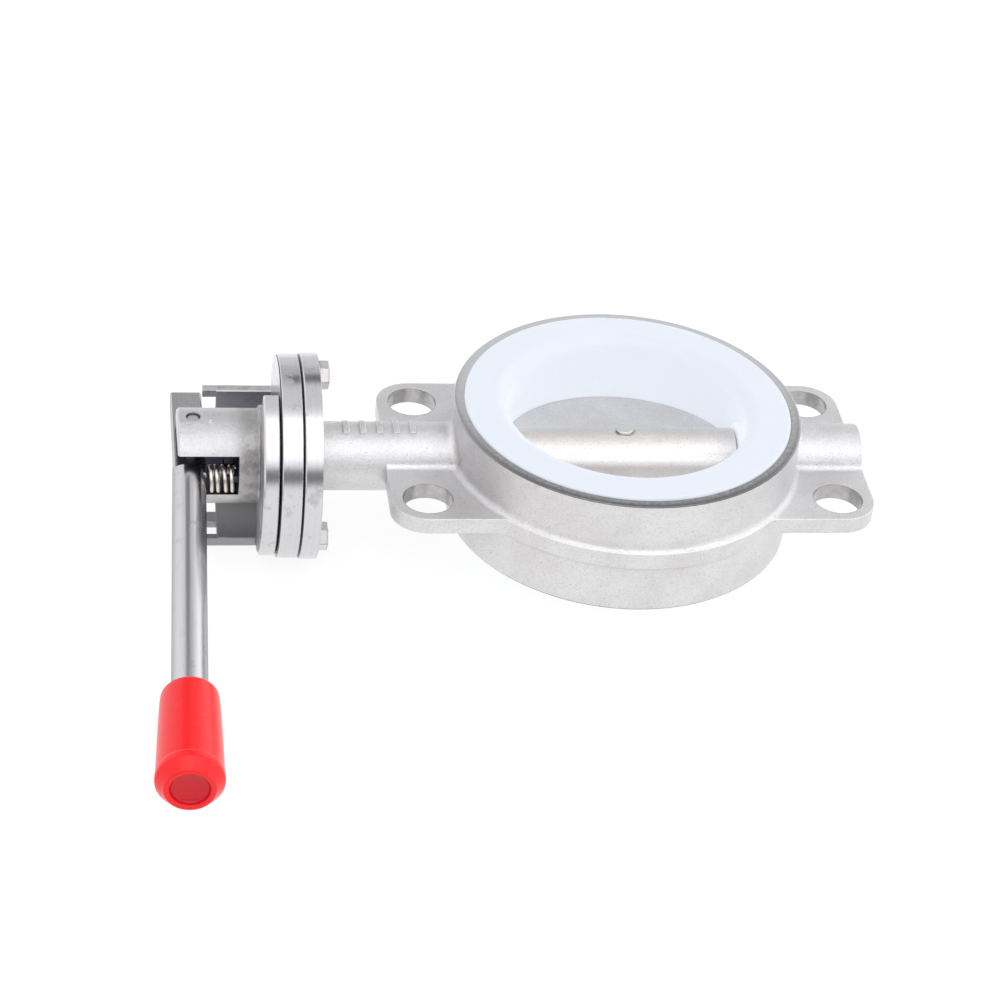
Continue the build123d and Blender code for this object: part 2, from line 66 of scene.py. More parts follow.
# Sizes of the CAD shapes that bound a finish, in metres
RING_FACE = 0.025                            # height of the ring's machined faces
POCKET_RADIUS = 0.0664                       # pocket for the liner's lip
RING_RADIUS = 0.0704
FLANGE_BACK = -0.1253                        # the flange's face on the neck's side
BOLT_CIRCLE = 0.090                          # radius on which the lug holes lie
LUG_ANGLE = math.radians(22.5)
LUG_HOLE_RADIUS = 0.010
DISC_RADIUS = 0.048
BOSS_HALF = 0.0463                           # half the length of the disc's stem boss
SECTOR_RADIUS = 0.040                        # turned rim of the hub's sector
SLOT_HALF = 0.0083                           # half the width of the hub's slot
SLOT_FLOOR = -0.157
PIVOT_RADIUS = 0.0025
PLATE_RADIUS = 0.041
PLATE_FACE = -0.1415                         # the locator plate's face on the hub's side
WALL_INNER = 0.0355                          # notched wall of the locator plate
WALL_OUTER = 0.0393
LIP_FACE = 0.026                             # height of the liner's lips
LEAD = math.radians(6.5)                     # the disc and the hub lead the lever by this angle
ROD_START = Vector((-0.1762, -0.0160, 0.0))  # where the round rod leaves the hub
ROD_FINISH = Vector((-0.1815, -0.1910, 0.0))
GRIP_END_X = -0.1818                         # middle of the grip's dished end

# Near black, for painted shade in the grooves where two parts meet.
SEAM_SHADE = (0.03, 0.03, 0.035)


# --------------------------------------------------------------------------- camera
def make_camera():
    """A long lens above the lever's side, rolled a little, as the valve leans on its flange."""
    eye = Vector((-0.220516, -0.932294, 0.643625))
    yaw, pitch, roll = (math.radians(a) for a in (10.477, 35.067, 6.088))
    ahead = Vector((math.sin(yaw) * math.cos(pitch), math.cos(yaw) * math.cos(pitch), -math.sin(pitch)))
    level = Vector((math.cos(yaw), -math.sin(yaw), 0.0))
    upright = level.cross(ahead)
    right = math.cos(roll) * level + math.sin(roll) * upright
    up = math.cos(roll) * upright - math.sin(roll) * level
    data = bpy.data.cameras.new("camera")
    data.sensor_width = 36.0
    data.lens = 101.47
    data.clip_end = 20.0
    camera = bpy.data.objects.new("camera", data)
    camera.matrix_world = Matrix.Translation(eye) @ Matrix((right, up, -ahead)).transposed().to_4x4()
    bpy.context.collection.objects.link(camera)
    bpy.context.scene.camera = camera


# --------------------------------------------------------------------------- node kit
class Nodes:
    """Short ways to add and wire shader nodes in one tree."""

    def __init__(self, tree):
        self.tree = tree
        self.tree.nodes.clear()

    def node(self, kind, **settings):
        made = self.tree.nodes.new(kind)
        for key, value in settings.items():
            setattr(made, key, value)
        return made

    def feed(self, socket, value):
        """Wire an output to a socket, or set a constant on it."""
        if isinstance(value, bpy.types.NodeSocket):
            self.tree.links.new(value, socket)
        else:
            socket.default_value = value

    def math(self, operation, *values):
        made = self.node("ShaderNodeMath", operation=operation)
        for socket, value in zip(made.inputs, values):
            self.feed(socket, value)
        return made.outputs[0]

    def times(self, first, second):
        return self.math("MULTIPLY", first, second)

    def split(self, vector):
        made = self.node("ShaderNodeSeparateXYZ")
        self.feed(made.inputs[0], vector)
        return made.outputs

    def join(self, *values):
        made = self.node("ShaderNodeCombineXYZ")
        for socket, value in zip(made.inputs, values):
            self.feed(socket, value)
        return made.outputs[0]

    def between(self, value, low, high, to_low=0.0, to_high=1.0):
        """Smooth step from to_low at low to to_high at high."""
        made = self.node("ShaderNodeMapRange", interpolation_type="SMOOTHSTEP")
        for socket, number in zip(made.inputs, (value, low, high, to_low, to_high)):
            self.feed(socket, number)
        return made.outputs[0]

    def inside(self, value, edge, fade=0.0003):
        """1 where value is below edge, 0 from edge + fade on."""
        return self.between(value, edge + fade, edge)

    def beyond(self, value, edge, fade=0.0003):
        """0 where value is below edge - fade, 1 from edge on."""
        return self.between(value, edge - fade, edge)

    def blend(self, factor, first, second):
        """The first colour at factor 0, the second at 1."""
        made = self.node("ShaderNodeMix", data_type="RGBA")
        self.feed(made.inputs[0], factor)
        for socket, value in ((made.inputs[6], first), (made.inputs[7], second)):
            self.feed(socket, value if isinstance(value, bpy.types.NodeSocket) else (*value, 1.0))
        return made.outputs[2]


class Paint(Nodes):
    """A surface material in object coordinates, which are the valve's own at rest."""

    def __init__(self, name, **constants):
        self.material = bpy.data.materials.new(name)
        self.material.use_nodes = True
        super().__init__(self.material.node_tree)
        self.shader = self.node("ShaderNodeBsdfPrincipled")
        output = self.node("ShaderNodeOutputMaterial")
        self.feed(output.inputs["Surface"], self.shader.outputs["BSDF"])
        self.place = self.node("ShaderNodeTexCoord").outputs["Object"]
        self.x, self.y, self.z = self.split(self.place)
        self.normal = None
        for socket, value in constants.items():
            self.shader.inputs[socket.replace("_", " ")].default_value = value

    def round(self, radius):
        """Soften the edges of the shading."""
        made = self.node("ShaderNodeBevel", samples=6)
        made.inputs["Radius"].default_value = radius
        self.rounded = self.normal = made.outputs[0]
        self.feed(self.shader.inputs["Normal"], self.normal)

    def painted_edges(self, share):
        """Up to share on the edges, where the softened normal leaves the true one: the mask for painted
        edge highlights and painted dark edge outlines.
        """
        made = self.node("ShaderNodeVectorMath", operation="DOT_PRODUCT")
        self.feed(made.inputs[0], self.rounded)
        self.feed(made.inputs[1], self.node("ShaderNodeNewGeometry").outputs["Normal"])
        return self.between(made.outputs["Value"], 0.99, 0.92, 0.0, share)

    def noise(self, scale, detail=3.0, roughness=0.5, vector=None):
        made = self.node("ShaderNodeTexNoise")
        self.feed(made.inputs["Vector"], vector or self.place)
        made.inputs["Scale"].default_value = scale
        made.inputs["Detail"].default_value = detail
        made.inputs["Roughness"].default_value = roughness
        return made.outputs[0]

    def dots(self, scale, size):
        """1 inside small scattered dots, 0 elsewhere."""
        made = self.node("ShaderNodeTexVoronoi")
        self.feed(made.inputs["Vector"], self.place)
        made.inputs["Scale"].default_value = scale
        return self.between(made.outputs["Distance"], size, size * 0.5)

    def radius(self, across, along):
        """Distance from an axis, from the two coordinates square to it."""
        squares = self.math("POWER", across, 2.0), self.math("POWER", along, 2.0)
        return self.math("SQRT", self.math("ADD", *squares))

    def size(self, value):
        """The value without its sign."""
        return self.math("ABSOLUTE", value)

    def corners(self, reach, share, alone=True):
        """Mask for painted shade: up to share where other surfaces (only the piece's own, if alone) crowd
        in, 0 on open ones.
        """
        made = self.node("ShaderNodeAmbientOcclusion", samples=6, only_local=alone)
        made.inputs["Distance"].default_value = reach
        return self.between(made.outputs["AO"], 0.85, 0.3, 0.0, share)

    def turned(self, axial, radial, scale=2600.0):
        """Fine lathe marks: they vary along the axis and the radius, but not round it."""
        lines = self.join(self.times(axial, scale), self.times(radial, scale), 0.0)
        return self.noise(1.0, 2.0, 0.6, lines)

    def bump(self, height, depth):
        """Raise the surface by depth metres where height goes from 0 to 1."""
        made = self.node("ShaderNodeBump")
        made.inputs["Distance"].default_value = depth
        self.feed(made.inputs["Height"], height)
        if self.normal is not None:
            self.feed(made.inputs["Normal"], self.normal)
        self.normal = made.outputs[0]
        self.feed(self.shader.inputs["Normal"], self.normal)

    def colour(self, value):
        self.feed(self.shader.inputs["Base Color"], value)

    def rough(self, value):
        self.feed(self.shader.inputs["Roughness"], value)


# --------------------------------------------------------------------------- studio
def patch(kit, direction, centre, inner, outer):
    """1 within inner of a direction in the sky, fading to 0 at outer."""
    away = kit.node("ShaderNodeVectorMath", operation="DISTANCE")
    kit.feed(away.inputs[0], direction)
    away.inputs[1].default_value = Vector(centre).normalized()
    return kit.between(away.outputs["Value"], outer, inner)


def dimmed(kit, light, shade, share):
    """The light less a share of it where shade is 1."""
    return kit.times(light, kit.math("SUBTRACT", 1.0, kit.times(shade, share)))


def make_world():
    """White studio with a key light over the camera, bright sides, and three dark patches for contrast."""
    world = bpy.data.worlds.new("studio")
    world.use_nodes = True
    bpy.context.scene.world = world
    kit = Nodes(world.node_tree)
    background = kit.node("ShaderNodeBackground")
    output = kit.node("ShaderNodeOutputWorld")
    kit.feed(output.inputs[0], background.outputs[0])
    direction = kit.node("ShaderNodeTexCoord").outputs["Generated"]
    x, y, z = kit.split(direction)
    key = patch(kit, direction, (0.1, -0.6, 0.78), 0.25, 0.65)
    sides = kit.math("ADD", kit.between(x, 0.25, 0.6), kit.between(x, -0.25, -0.6, 0.0, 0.45))
    light = kit.math("ADD", kit.math("ADD", 0.84, key), kit.times(sides, 0.6))
    behind_lever = patch(kit, direction, (-0.09, 0.82, 0.54), 0.1, 0.21)
    behind_rims = patch(kit, direction, (0.149, 0.642, 0.753), 0.1, 0.19)
    front = kit.times(kit.between(z, 0.36, 0.28), kit.between(z, 0.02, 0.08))
    front = kit.times(front, kit.between(y, -0.6, -0.85))
    light = dimmed(kit, light, behind_lever, 0.78)
    light = dimmed(kit, light, behind_rims, 0.9)
    light = dimmed(kit, light, front, 0.78)
    seen = kit.node("ShaderNodeLightPath").outputs["Is Camera Ray"]
    studio = kit.join(light, light, kit.times(light, 1.02))
    colour = kit.blend(seen, studio, (0.97, 0.97, 0.97))
    kit.feed(background.inputs["Color"], colour)


def make_light(name, place, aim, size, power):
    data = bpy.data.lights.new(name, "AREA")
    data.shape = "SQUARE"
    data.size = size
    data.energy = power
    light = bpy.data.objects.new(name, data)
    light.location = place
    light.rotation_euler = (Vector(aim) - Vector(place)).to_track_quat("-Z", "Y").to_euler()
    bpy.context.collection.objects.link(light)


def make_floor():
    """A wide pale floor that the flange's rim rests on."""
    mesh = bpy.data.meshes.new("floor")
    shape = bmesh.new()
    bmesh.ops.create_grid(shape, x_segments=1, y_segments=1, size=4.0)
    shape.to_mesh(mesh)
    shape.free()
    floor = bpy.data.objects.new("floor", mesh)
    floor.location.z = floor_level - 0.0002
    bpy.context.collection.objects.link(floor)
    paint = Paint("floor_paper", Roughness=0.9, Specular_IOR_Level=0.1, Emission_Strength=0.84)
    paint.shader.inputs["Emission Color"].default_value = (1.0, 1.0, 1.0, 1.0)
    paint.colour(paint.blend(paint.noise(6.0), (0.19, 0.19, 0.19), (0.21, 0.21, 0.21)))
    floor.data.materials.append(paint.material)


# --------------------------------------------------------------------------- materials
def cast_grain(paint, depth=1.0, machined=None):
    """Sandy grain over a soft waviness, left off where the casting is machined."""
    fine = paint.noise(1500.0, 4.0, 0.7)
    wavy = paint.noise(230.0, 3.0, 0.5)
    sand = fine
    if machined is not None:
        cast = paint.math("SUBTRACT", 1.0, machined)
        wavy, sand = paint.times(wavy, cast), paint.times(fine, cast)
    paint.bump(wavy, 0.0002 * depth)
    paint.bump(sand, 0.00024 * depth)
    return fine


def cast_colour(paint, fine, stain_share=0.3, level=1.0, warmth=0.0):
    """Warm light grey with dark specks, painted highlights on the edges, painted shade in the corners,
    pits and a few brown stains.
    """
    cloud = paint.between(paint.noise(45.0, 4.0, 0.6), 0.35, 0.65)
    low, high = 0.7 * level, 0.76 * level
    green, blue = 1.0 - warmth / 2, 1.0 - warmth
    clean = paint.blend(cloud, (low, low * 0.985 * green, low * 0.985 * blue),
                        (high, high * 0.995 * green, high * blue))
    grainy = paint.blend(paint.between(fine, 0.54, 0.3, 0.0, 0.5), clean, (0.44, 0.435, 0.44))
    # Painted highlight: the edges are lightened towards white.
    grainy = paint.blend(paint.painted_edges(0.8), grainy, (0.95, 0.95, 0.95))
    stain = paint.between(paint.noise(62.0, 4.0, 0.65), 0.62, 0.76, 0.0, stain_share)
    stained = paint.blend(stain, grainy, (0.42, 0.34, 0.28))
    # Painted shade: darker grey where other surfaces crowd in.
    corner_shaded = paint.blend(paint.corners(0.005, 0.6), stained, (0.26, 0.25, 0.245))
    return paint.blend(paint.times(paint.dots(260.0, 0.09), 0.55), corner_shaded, (0.2, 0.19, 0.18))


def rim_colour(paint, about_stem):
    """Turned rim: fine lathe marks, small pits and a few dull smudges."""
    marks = paint.turned(paint.x, about_stem)
    clean = paint.blend(marks, (0.56, 0.56, 0.57), (0.73, 0.73, 0.75))
    smudge = paint.between(paint.noise(130.0, 4.0, 0.65), 0.55, 0.7, 0.0, 0.45)
    darkened = paint.blend(smudge, clean, (0.34, 0.33, 0.33))
    return paint.blend(paint.times(paint.dots(650.0, 0.12), 0.6), darkened, (0.16, 0.15, 0.15))


def drilled_holes(paint):
    """1 on the walls of the four lug holes."""
    across = paint.math("SUBTRACT", paint.size(paint.x), BOLT_CIRCLE * math.cos(LUG_ANGLE))
    along = paint.math("SUBTRACT", paint.size(paint.y), BOLT_CIRCLE * math.sin(LUG_ANGLE))
    return paint.inside(paint.radius(across, along), LUG_HOLE_RADIUS + 0.00005, 0.00015)


def turned_ring(paint, about_bore):
    """1 on the ring's two faces, their outer corners and the liner's pocket."""
    height = paint.size(paint.z)
    face = paint.beyond(height, RING_FACE - 0.0002, 0.00025)
    pocket = paint.inside(about_bore, POCKET_RADIUS + 0.0001)
    corner = paint.times(paint.beyond(height, RING_FACE - 0.0005, 0.0002),
                         paint.beyond(about_bore, RING_RADIUS - 0.0006, 0.0002))
    turned = paint.math("MAXIMUM", paint.math("MAXIMUM", face, corner), pocket)
    return paint.times(turned, paint.inside(about_bore, 0.073, 0.002))


def ring_face_colour(paint, about_bore):
    """Lathe marks under a painted reflection: bright at the back, with painted shade at the front, which
    is mottled and darker outwards.
    """
    rings = paint.turned(paint.z, about_bore)
    mottle = paint.between(paint.noise(520.0, 4.0, 0.7), 0.35, 0.65)
    outward = paint.between(about_bore, 0.0675, RING_RADIUS - 0.0002, 0.0, 0.8)
    uneven = paint.times(paint.math("ADD", rings, mottle), 0.5)
    # Painted shade at the front, darker outwards, and a painted reflection at the back, blended by y.
    darkened = paint.blend(uneven, (0.2, 0.195, 0.195), (0.5, 0.49, 0.49))
    front = paint.blend(outward, darkened, (0.1, 0.1, 0.105))
    back = paint.blend(rings, (0.6, 0.6, 0.61), (0.78, 0.78, 0.79))
    toward_back_sheen = paint.between(paint.math("ADD", paint.y, paint.times(paint.noise(40.0), 0.02)), -0.055, 0.06)
    return paint.blend(toward_back_sheen, front, back)


def body_steel():
    """Investment-cast stainless; the ring's faces and the flange are turned. Painted shade darkens the lug
    holes' walls and the seam at the locator plate.
    """
    paint = Paint("cast_body", Metallic=1.0)
    paint.round(0.0006)
    about_bore = paint.radius(paint.x, paint.y)
    about_stem = paint.radius(paint.y, paint.z)
    faced = turned_ring(paint, about_bore)
    flange = paint.times(paint.beyond(about_stem, flange_radius - 0.0009),
                         paint.inside(paint.x, FLANGE_BACK + 0.0003, 0.0005))
    drilled = drilled_holes(paint)
    machined = paint.math("MAXIMUM", paint.math("MAXIMUM", faced, flange), drilled)
    cast = cast_colour(paint, cast_grain(paint, 1.0, machined))
    # Painted shade on the drilled walls of the lug holes.
    shaded_hole = paint.blend(paint.noise(260.0, 3.0, 0.6), (0.3, 0.28, 0.28), (0.6, 0.59, 0.59))
    # Painted shade: near black in the groove where the flange meets the locator plate.
    seam = paint.inside(paint.x, flange_face + 0.0002)
    rim = paint.blend(seam, rim_colour(paint, about_stem), SEAM_SHADE)
    unfaced = paint.blend(flange, paint.blend(drilled, cast, shaded_hole), rim)
    paint.colour(paint.blend(faced, unfaced, ring_face_colour(paint, about_bore)))
    paint.rough(paint.between(machined, 0.0, 1.0, 0.4, 0.2))
    return paint.material


def disc_steel():
    """Cast disc, brighter and warmer than the body, with brown edges and boss ends."""
    paint = Paint("cast_disc", Metallic=1.0)
    paint.round(0.0004)
    fine = cast_grain(paint, 0.9)
    reach = paint.radius(paint.radius(paint.x, paint.y), paint.z)
    edge = paint.math("MAXIMUM", paint.beyond(reach, DISC_RADIUS - 0.0001, 0.00005),
                      paint.beyond(paint.size(paint.x), BOSS_HALF - 0.00025, 0.0002))
    cast = cast_colour(paint, fine, 0.1, 1.04, 0.05)
    paint.colour(paint.blend(paint.times(edge, 0.8), cast, (0.24, 0.17, 0.14)))
    paint.rough(0.38)
    return paint.material


def hub_dark_blotches(paint):
    """Up to 0.95 in dark blotches on the stretch of the barrel next to the sector, most of them low down.
    """
    near = paint.between(paint.x, -0.162, -0.151)
    low = paint.between(paint.z, 0.024, 0.012, 0.4, 1.0)
    blotches = paint.between(paint.noise(150.0, 4.0, 0.65), 0.35, 0.62, 0.45, 0.95)
    return paint.times(paint.times(near, low), blotches)


def slot_walls(paint):
    """1 on the walls of the slot, which leads the lever's own plane."""
    across = paint.math("ADD", paint.times(paint.z, math.cos(LEAD)), paint.times(paint.y, math.sin(LEAD)))
    return paint.times(paint.inside(paint.size(across), SLOT_HALF + 0.00015, 0.00015),
                       paint.inside(paint.x, SLOT_FLOOR + 0.0002))


def hub_steel():
    """Cast hub whose sector rim is turned; painted shade darkens its slot, the mouths of the pivot bore
    and the seam at the locator plate.
    """
    paint = Paint("cast_hub", Metallic=1.0)
    paint.round(0.0005)
    about_stem = paint.radius(paint.y, paint.z)
    rim = paint.beyond(about_stem, SECTOR_RADIUS - 0.0011, 0.0004)
    cast = cast_colour(paint, cast_grain(paint, 1.0, rim), 0.2, 0.88)
    blotched = paint.blend(hub_dark_blotches(paint), cast, (0.26, 0.25, 0.25))
    # Painted shade: near black in the groove where the sector meets the locator plate.
    seam = paint.beyond(paint.x, hub_face - 0.0002)
    turned = paint.blend(seam, rim_colour(paint, about_stem), SEAM_SHADE)
    # Painted shade: the slot's walls go near black navy.
    slotted = paint.blend(slot_walls(paint), paint.blend(rim, blotched, turned), (0.035, 0.04, 0.06))
    # Painted shade around the pivot pin, in the mouths of its bore.
    about_pivot = paint.radius(paint.math("SUBTRACT", paint.x, pivot_x), paint.y)
    mouth = paint.times(paint.inside(about_pivot, PIVOT_RADIUS + 0.0003),
                        paint.beyond(paint.size(paint.z), 0.016, 0.002))
    paint.colour(paint.blend(mouth, slotted, (0.14, 0.14, 0.145)))
    paint.rough(paint.between(rim, 0.0, 1.0, 0.4, 0.2))
    return paint.material


def plate_seam_shade(paint, about_stem):
    """1 on the chamfers at the two edges of the locator plate's rim, where painted shade goes in the
    grooves.
    """
    middle = (flange_face + PLATE_FACE) / 2
    half = (flange_face - PLATE_FACE) / 2
    edge = paint.beyond(paint.size(paint.math("SUBTRACT", paint.x, middle)), half - 0.00025)
    rim = paint.times(paint.beyond(about_stem, PLATE_RADIUS - 0.0006, 0.0004),
                      paint.inside(about_stem, PLATE_RADIUS - 0.0004, 0.00035))
    return paint.times(edge, rim)


def plate_steel():
    """Turned locator plate with rusty smudges; painted shade darkens its wall inside, low down and in the
    cut notches, and the grooves at its rim.
    """
    paint = Paint("turned_plate", Metallic=1.0)
    paint.round(0.0003)
    about_stem = paint.radius(paint.y, paint.z)
    marks = paint.turned(paint.x, about_stem)
    wall = paint.inside(paint.x, PLATE_FACE - 0.0015, 0.0018)
    low = paint.between(paint.z, -0.005, -0.02)
    inner = paint.times(wall, paint.inside(about_stem, WALL_INNER + 0.0006))
    cuts = paint.times(paint.times(wall, low), paint.inside(about_stem, WALL_OUTER - 0.0005))
    outer = paint.times(paint.times(wall, low), 0.55)
    smudge = paint.between(paint.noise(90.0, 4.0, 0.6), 0.56, 0.7)
    # Painted shade on the wall: dark grey on the outer face low down and in the cut notches, and on the
    # inner face lighter up top and darker low down.
    outer_shaded = paint.blend(outer, rim_colour(paint, about_stem), (0.3, 0.3, 0.31))
    cut = paint.blend(cuts, outer_shaded, (0.3, 0.3, 0.31))
    shaded = paint.blend(inner, cut, paint.blend(low, (0.55, 0.56, 0.62), (0.34, 0.33, 0.33)))
    rusty = paint.blend(paint.times(paint.times(smudge, wall), 0.4), shaded, (0.3, 0.2, 0.15))
    # Painted shade: near black in the grooves at the rim's edges.
    paint.colour(paint.blend(plate_seam_shade(paint, about_stem), rusty, SEAM_SHADE))
    paint.bump(marks, 0.00003)
    paint.rough(paint.math("ADD", paint.between(smudge, 0.0, 1.0, 0.2, 0.36), paint.times(inner, 0.25)))
    return paint.material


def rod_steel():
    """Bright drawn bar with faint lengthwise scratches and a few grey smudges."""
    paint = Paint("drawn_bar", Metallic=1.0, Specular_Tint=(0.55, 0.55, 0.57, 1.0))
    paint.round(0.0003)
    along = paint.node("ShaderNodeMapping")
    paint.feed(along.inputs["Vector"], paint.place)
    along.inputs["Scale"].default_value = (1.0, 0.03, 1.0)
    scratches = paint.noise(1400.0, 3.0, 0.7, along.outputs[0])
    smudge = paint.between(paint.noise(120.0, 3.0, 0.6), 0.55, 0.75)
    clean = paint.blend(scratches, (0.6, 0.6, 0.61), (0.73, 0.73, 0.74))
    paint.colour(paint.blend(paint.times(smudge, 0.4), clean, (0.42, 0.42, 0.43)))
    paint.bump(scratches, 0.00002)
    paint.rough(paint.between(smudge, 0.0, 1.0, 0.22, 0.34))
    return paint.material


def turned_steel():
    """Turned pins, stem and washers."""
    paint = Paint("turned_steel", Metallic=1.0)
    paint.round(0.0002)
    about_stem = paint.radius(paint.y, paint.z)
    marks = paint.turned(paint.x, about_stem)
    paint.colour(paint.blend(marks, (0.66, 0.66, 0.66), (0.82, 0.82, 0.82)))
    paint.bump(marks, 0.00002)
    paint.rough(0.3)
    return paint.material


def bolt_steel():
    """Zinc-bright bolt steel with dull patches, painted dark outlines on the edges and painted shade where
    other pieces crowd in.
    """
    paint = Paint("bolt_steel", Metallic=1.0)
    paint.round(0.0008)
    patches = paint.noise(300.0, 3.0, 0.6)
    clean = paint.blend(patches, (0.6, 0.59, 0.57), (0.85, 0.84, 0.82))
    # Painted shade: dark outlines on the edges.
    edge_shaded = paint.blend(paint.painted_edges(0.85), clean, (0.2, 0.19, 0.19))
    # Painted shade: darker where other pieces crowd in, such as under the heads.
    paint.colour(paint.blend(paint.corners(0.002, 0.8, False), edge_shaded, (0.12, 0.11, 0.11)))
    paint.bump(paint.noise(1200.0), 0.00004)
    paint.rough(paint.between(patches, 0.3, 0.7, 0.28, 0.42))
    return paint.material


def spring_steel():
    """Drawn spring wire with orange rust spots."""
    paint = Paint("spring_wire", Metallic=1.0)
    rust = paint.between(paint.noise(420.0, 3.0, 0.6), 0.6, 0.68)
    steel = paint.blend(paint.noise(900.0), (0.62, 0.58, 0.52), (0.84, 0.81, 0.76))
    paint.colour(paint.blend(paint.times(rust, 0.75), steel, (0.48, 0.23, 0.1)))
    paint.bump(paint.noise(2200.0), 0.00003)
    paint.rough(paint.between(rust, 0.0, 1.0, 0.3, 0.6))
    return paint.material


def ptfe():
    """Bluish white PTFE: waxy, with a painted glow that is stronger down the bore, faint turning marks and
    light scuffs.
    """
    # The emission is painted light: the liner glows though it is no lamp.
    paint = Paint("white_ptfe", Subsurface_Weight=0.25, Subsurface_Scale=0.004, Specular_IOR_Level=0.4,
                  Emission_Strength=0.42)
    paint.shader.inputs["Subsurface Radius"].default_value = (0.8, 0.9, 1.0)
    paint.shader.inputs["Emission Color"].default_value = (0.87, 0.92, 1.0, 1.0)
    about_bore = paint.radius(paint.x, paint.y)
    marks = paint.turned(paint.z, about_bore, 1500.0)
    # Painted glow: more emission down the bore than on the lips.
    painted_glow = paint.between(paint.size(paint.z), LIP_FACE - 0.0004, 0.0195, 0.42, 0.54)
    paint.feed(paint.shader.inputs["Emission Strength"], painted_glow)
    cloud = paint.noise(30.0, 3.0, 0.5)
    clean = paint.blend(cloud, (0.36, 0.385, 0.42), (0.38, 0.405, 0.435))
    paint.colour(paint.blend(paint.between(marks, 0.4, 0.2, 0.0, 0.3), clean, (0.32, 0.35, 0.4)))
    paint.bump(marks, 0.00003)
    paint.bump(paint.noise(500.0), 0.00004)
    paint.rough(paint.between(paint.noise(160.0), 0.3, 0.7, 0.34, 0.5))
    return paint.material


def grip_plastic():
    """Glossy red moulded plastic with fine scuffs; painted shade darkens the end's bowl, deeper in, and
    the corners.
    """
    paint = Paint("red_grip", Coat_Weight=0.1, Coat_Roughness=0.12, Specular_IOR_Level=0.3)
    cloud = paint.noise(70.0, 3.0, 0.5)
    scuff = paint.between(paint.noise(210.0, 5.0, 0.7), 0.6, 0.72)
    red = paint.blend(cloud, (0.78, 0.006, 0.01), (0.84, 0.01, 0.013))
    scuffed = paint.blend(paint.times(scuff, 0.3), red, (0.9, 0.1, 0.09))
    about_rod = paint.radius(paint.math("SUBTRACT", paint.x, GRIP_END_X), paint.z)
    # Painted shade in the end's bowl, darker deeper in.
    deep = paint.between(paint.y, -0.1965, -0.1975, 0.0, 0.8)
    bowl = paint.times(paint.inside(about_rod, 0.0068, 0.0007), deep)
    shaded = paint.blend(bowl, scuffed, (0.5, 0.004, 0.015))
    # Painted shade: darker red where other surfaces crowd in.
    paint.colour(paint.blend(paint.corners(0.003, 0.4), shaded, (0.4, 0.003, 0.01)))
    paint.bump(paint.noise(900.0), 0.00003)
    paint.bump(paint.noise(60.0), 0.0002)
    paint.rough(paint.between(scuff, 0.0, 1.0, 0.3, 0.45))
    return paint.material


def plain_mix(name, first, second, grain_scale, rough, **constants):
    """Two close shades and a fine bump, for the pieces inside."""
    paint = Paint(name, **constants)
    grain = paint.noise(grain_scale, 3.0, 0.6)
    paint.colour(paint.blend(grain, first, second))
    paint.bump(grain, 0.00005)
    paint.rough(rough)
    return paint.material


def paint_cad():
    """Give every CAD node its material."""
    body, hub, disc, plate = body_steel(), hub_steel(), disc_steel(), plate_steel()
    turned, bolt, rod, white = turned_steel(), bolt_steel(), rod_steel(), ptfe()
    rubber = plain_mix("backing_rubber", (0.02, 0.02, 0.02), (0.04, 0.04, 0.04), 300.0, 0.6)
    plastic = plain_mix("bearing_plastic", (0.1, 0.1, 0.11), (0.16, 0.16, 0.17), 500.0, 0.45)
    bronze = plain_mix("bush_bronze", (0.55, 0.35, 0.15), (0.68, 0.45, 0.22), 700.0, 0.35, Metallic=1.0)
    black = plain_mix("black_oxide", (0.03, 0.03, 0.035), (0.07, 0.07, 0.08), 600.0, 0.4, Metallic=0.7)
    finish = {
        "valve_body": body, "handle_hub": hub, "disc": disc, "locator_plate": plate,
        "seat_liner": white, "seat_backing_ring": rubber, "packing_rings": white,
        "neck_bush_outer": plastic, "neck_bush_inner": plastic, "bottom_bush": plastic,
        "thrust_pad": plastic, "packing_washer": turned, "stem": turned, "disc_pin": bolt,
        "retaining_ring": bolt, "locator_bolts": bolt, "bolt_washers": bolt, "hub_washer": black,
        "hub_screw": black, "spring_stud": black, "pivot_pin": turned, "pivot_bush": bronze,
        "lever_rod": rod,
    }
    for name, material in finish.items():
        for slot in nodes[name].material_slots:
            slot.material = material


# --------------------------------------------------------------------------- Blender pieces
def mesh_piece(name, vertices, faces, material):
    mesh = bpy.data.meshes.new(name)
    mesh.from_pydata(vertices, [], faces)
    mesh.validate()
    mesh.update()
    mesh.shade_smooth()
    piece = bpy.data.objects.new(name, mesh)
    piece.data.materials.append(material)
    bpy.context.collection.objects.link(piece)
    return piece


def tube_along(points, radii, sides):
    """Vertices and faces of a closed round tube that follows the points."""
    vertices, faces = [], []
    count = len(points)
    side = None
    for index, (point, radius) in enumerate(zip(points, radii)):
        ahead = (points[min(index + 1, count - 1)] - points[max(index - 1, 0)]).normalized()
        if side is None:
            side = ahead.orthogonal().normalized()
        side = (side - ahead * side.dot(ahead)).normalized()
        other = ahead.cross(side)
        for step in range(sides):
            turn = 2 * math.pi * step / sides
            vertices.append(point + radius * (math.cos(turn) * side + math.sin(turn) * other))
    for index in range(count - 1):
        for step in range(sides):
            a, b = index * sides + step, index * sides + (step + 1) % sides
            faces.append((a, b, b + sides, a + sides))
    faces.append(tuple(reversed(range(sides))))
    faces.append(tuple(range((count - 1) * sides, count * sides)))
    return vertices, faces


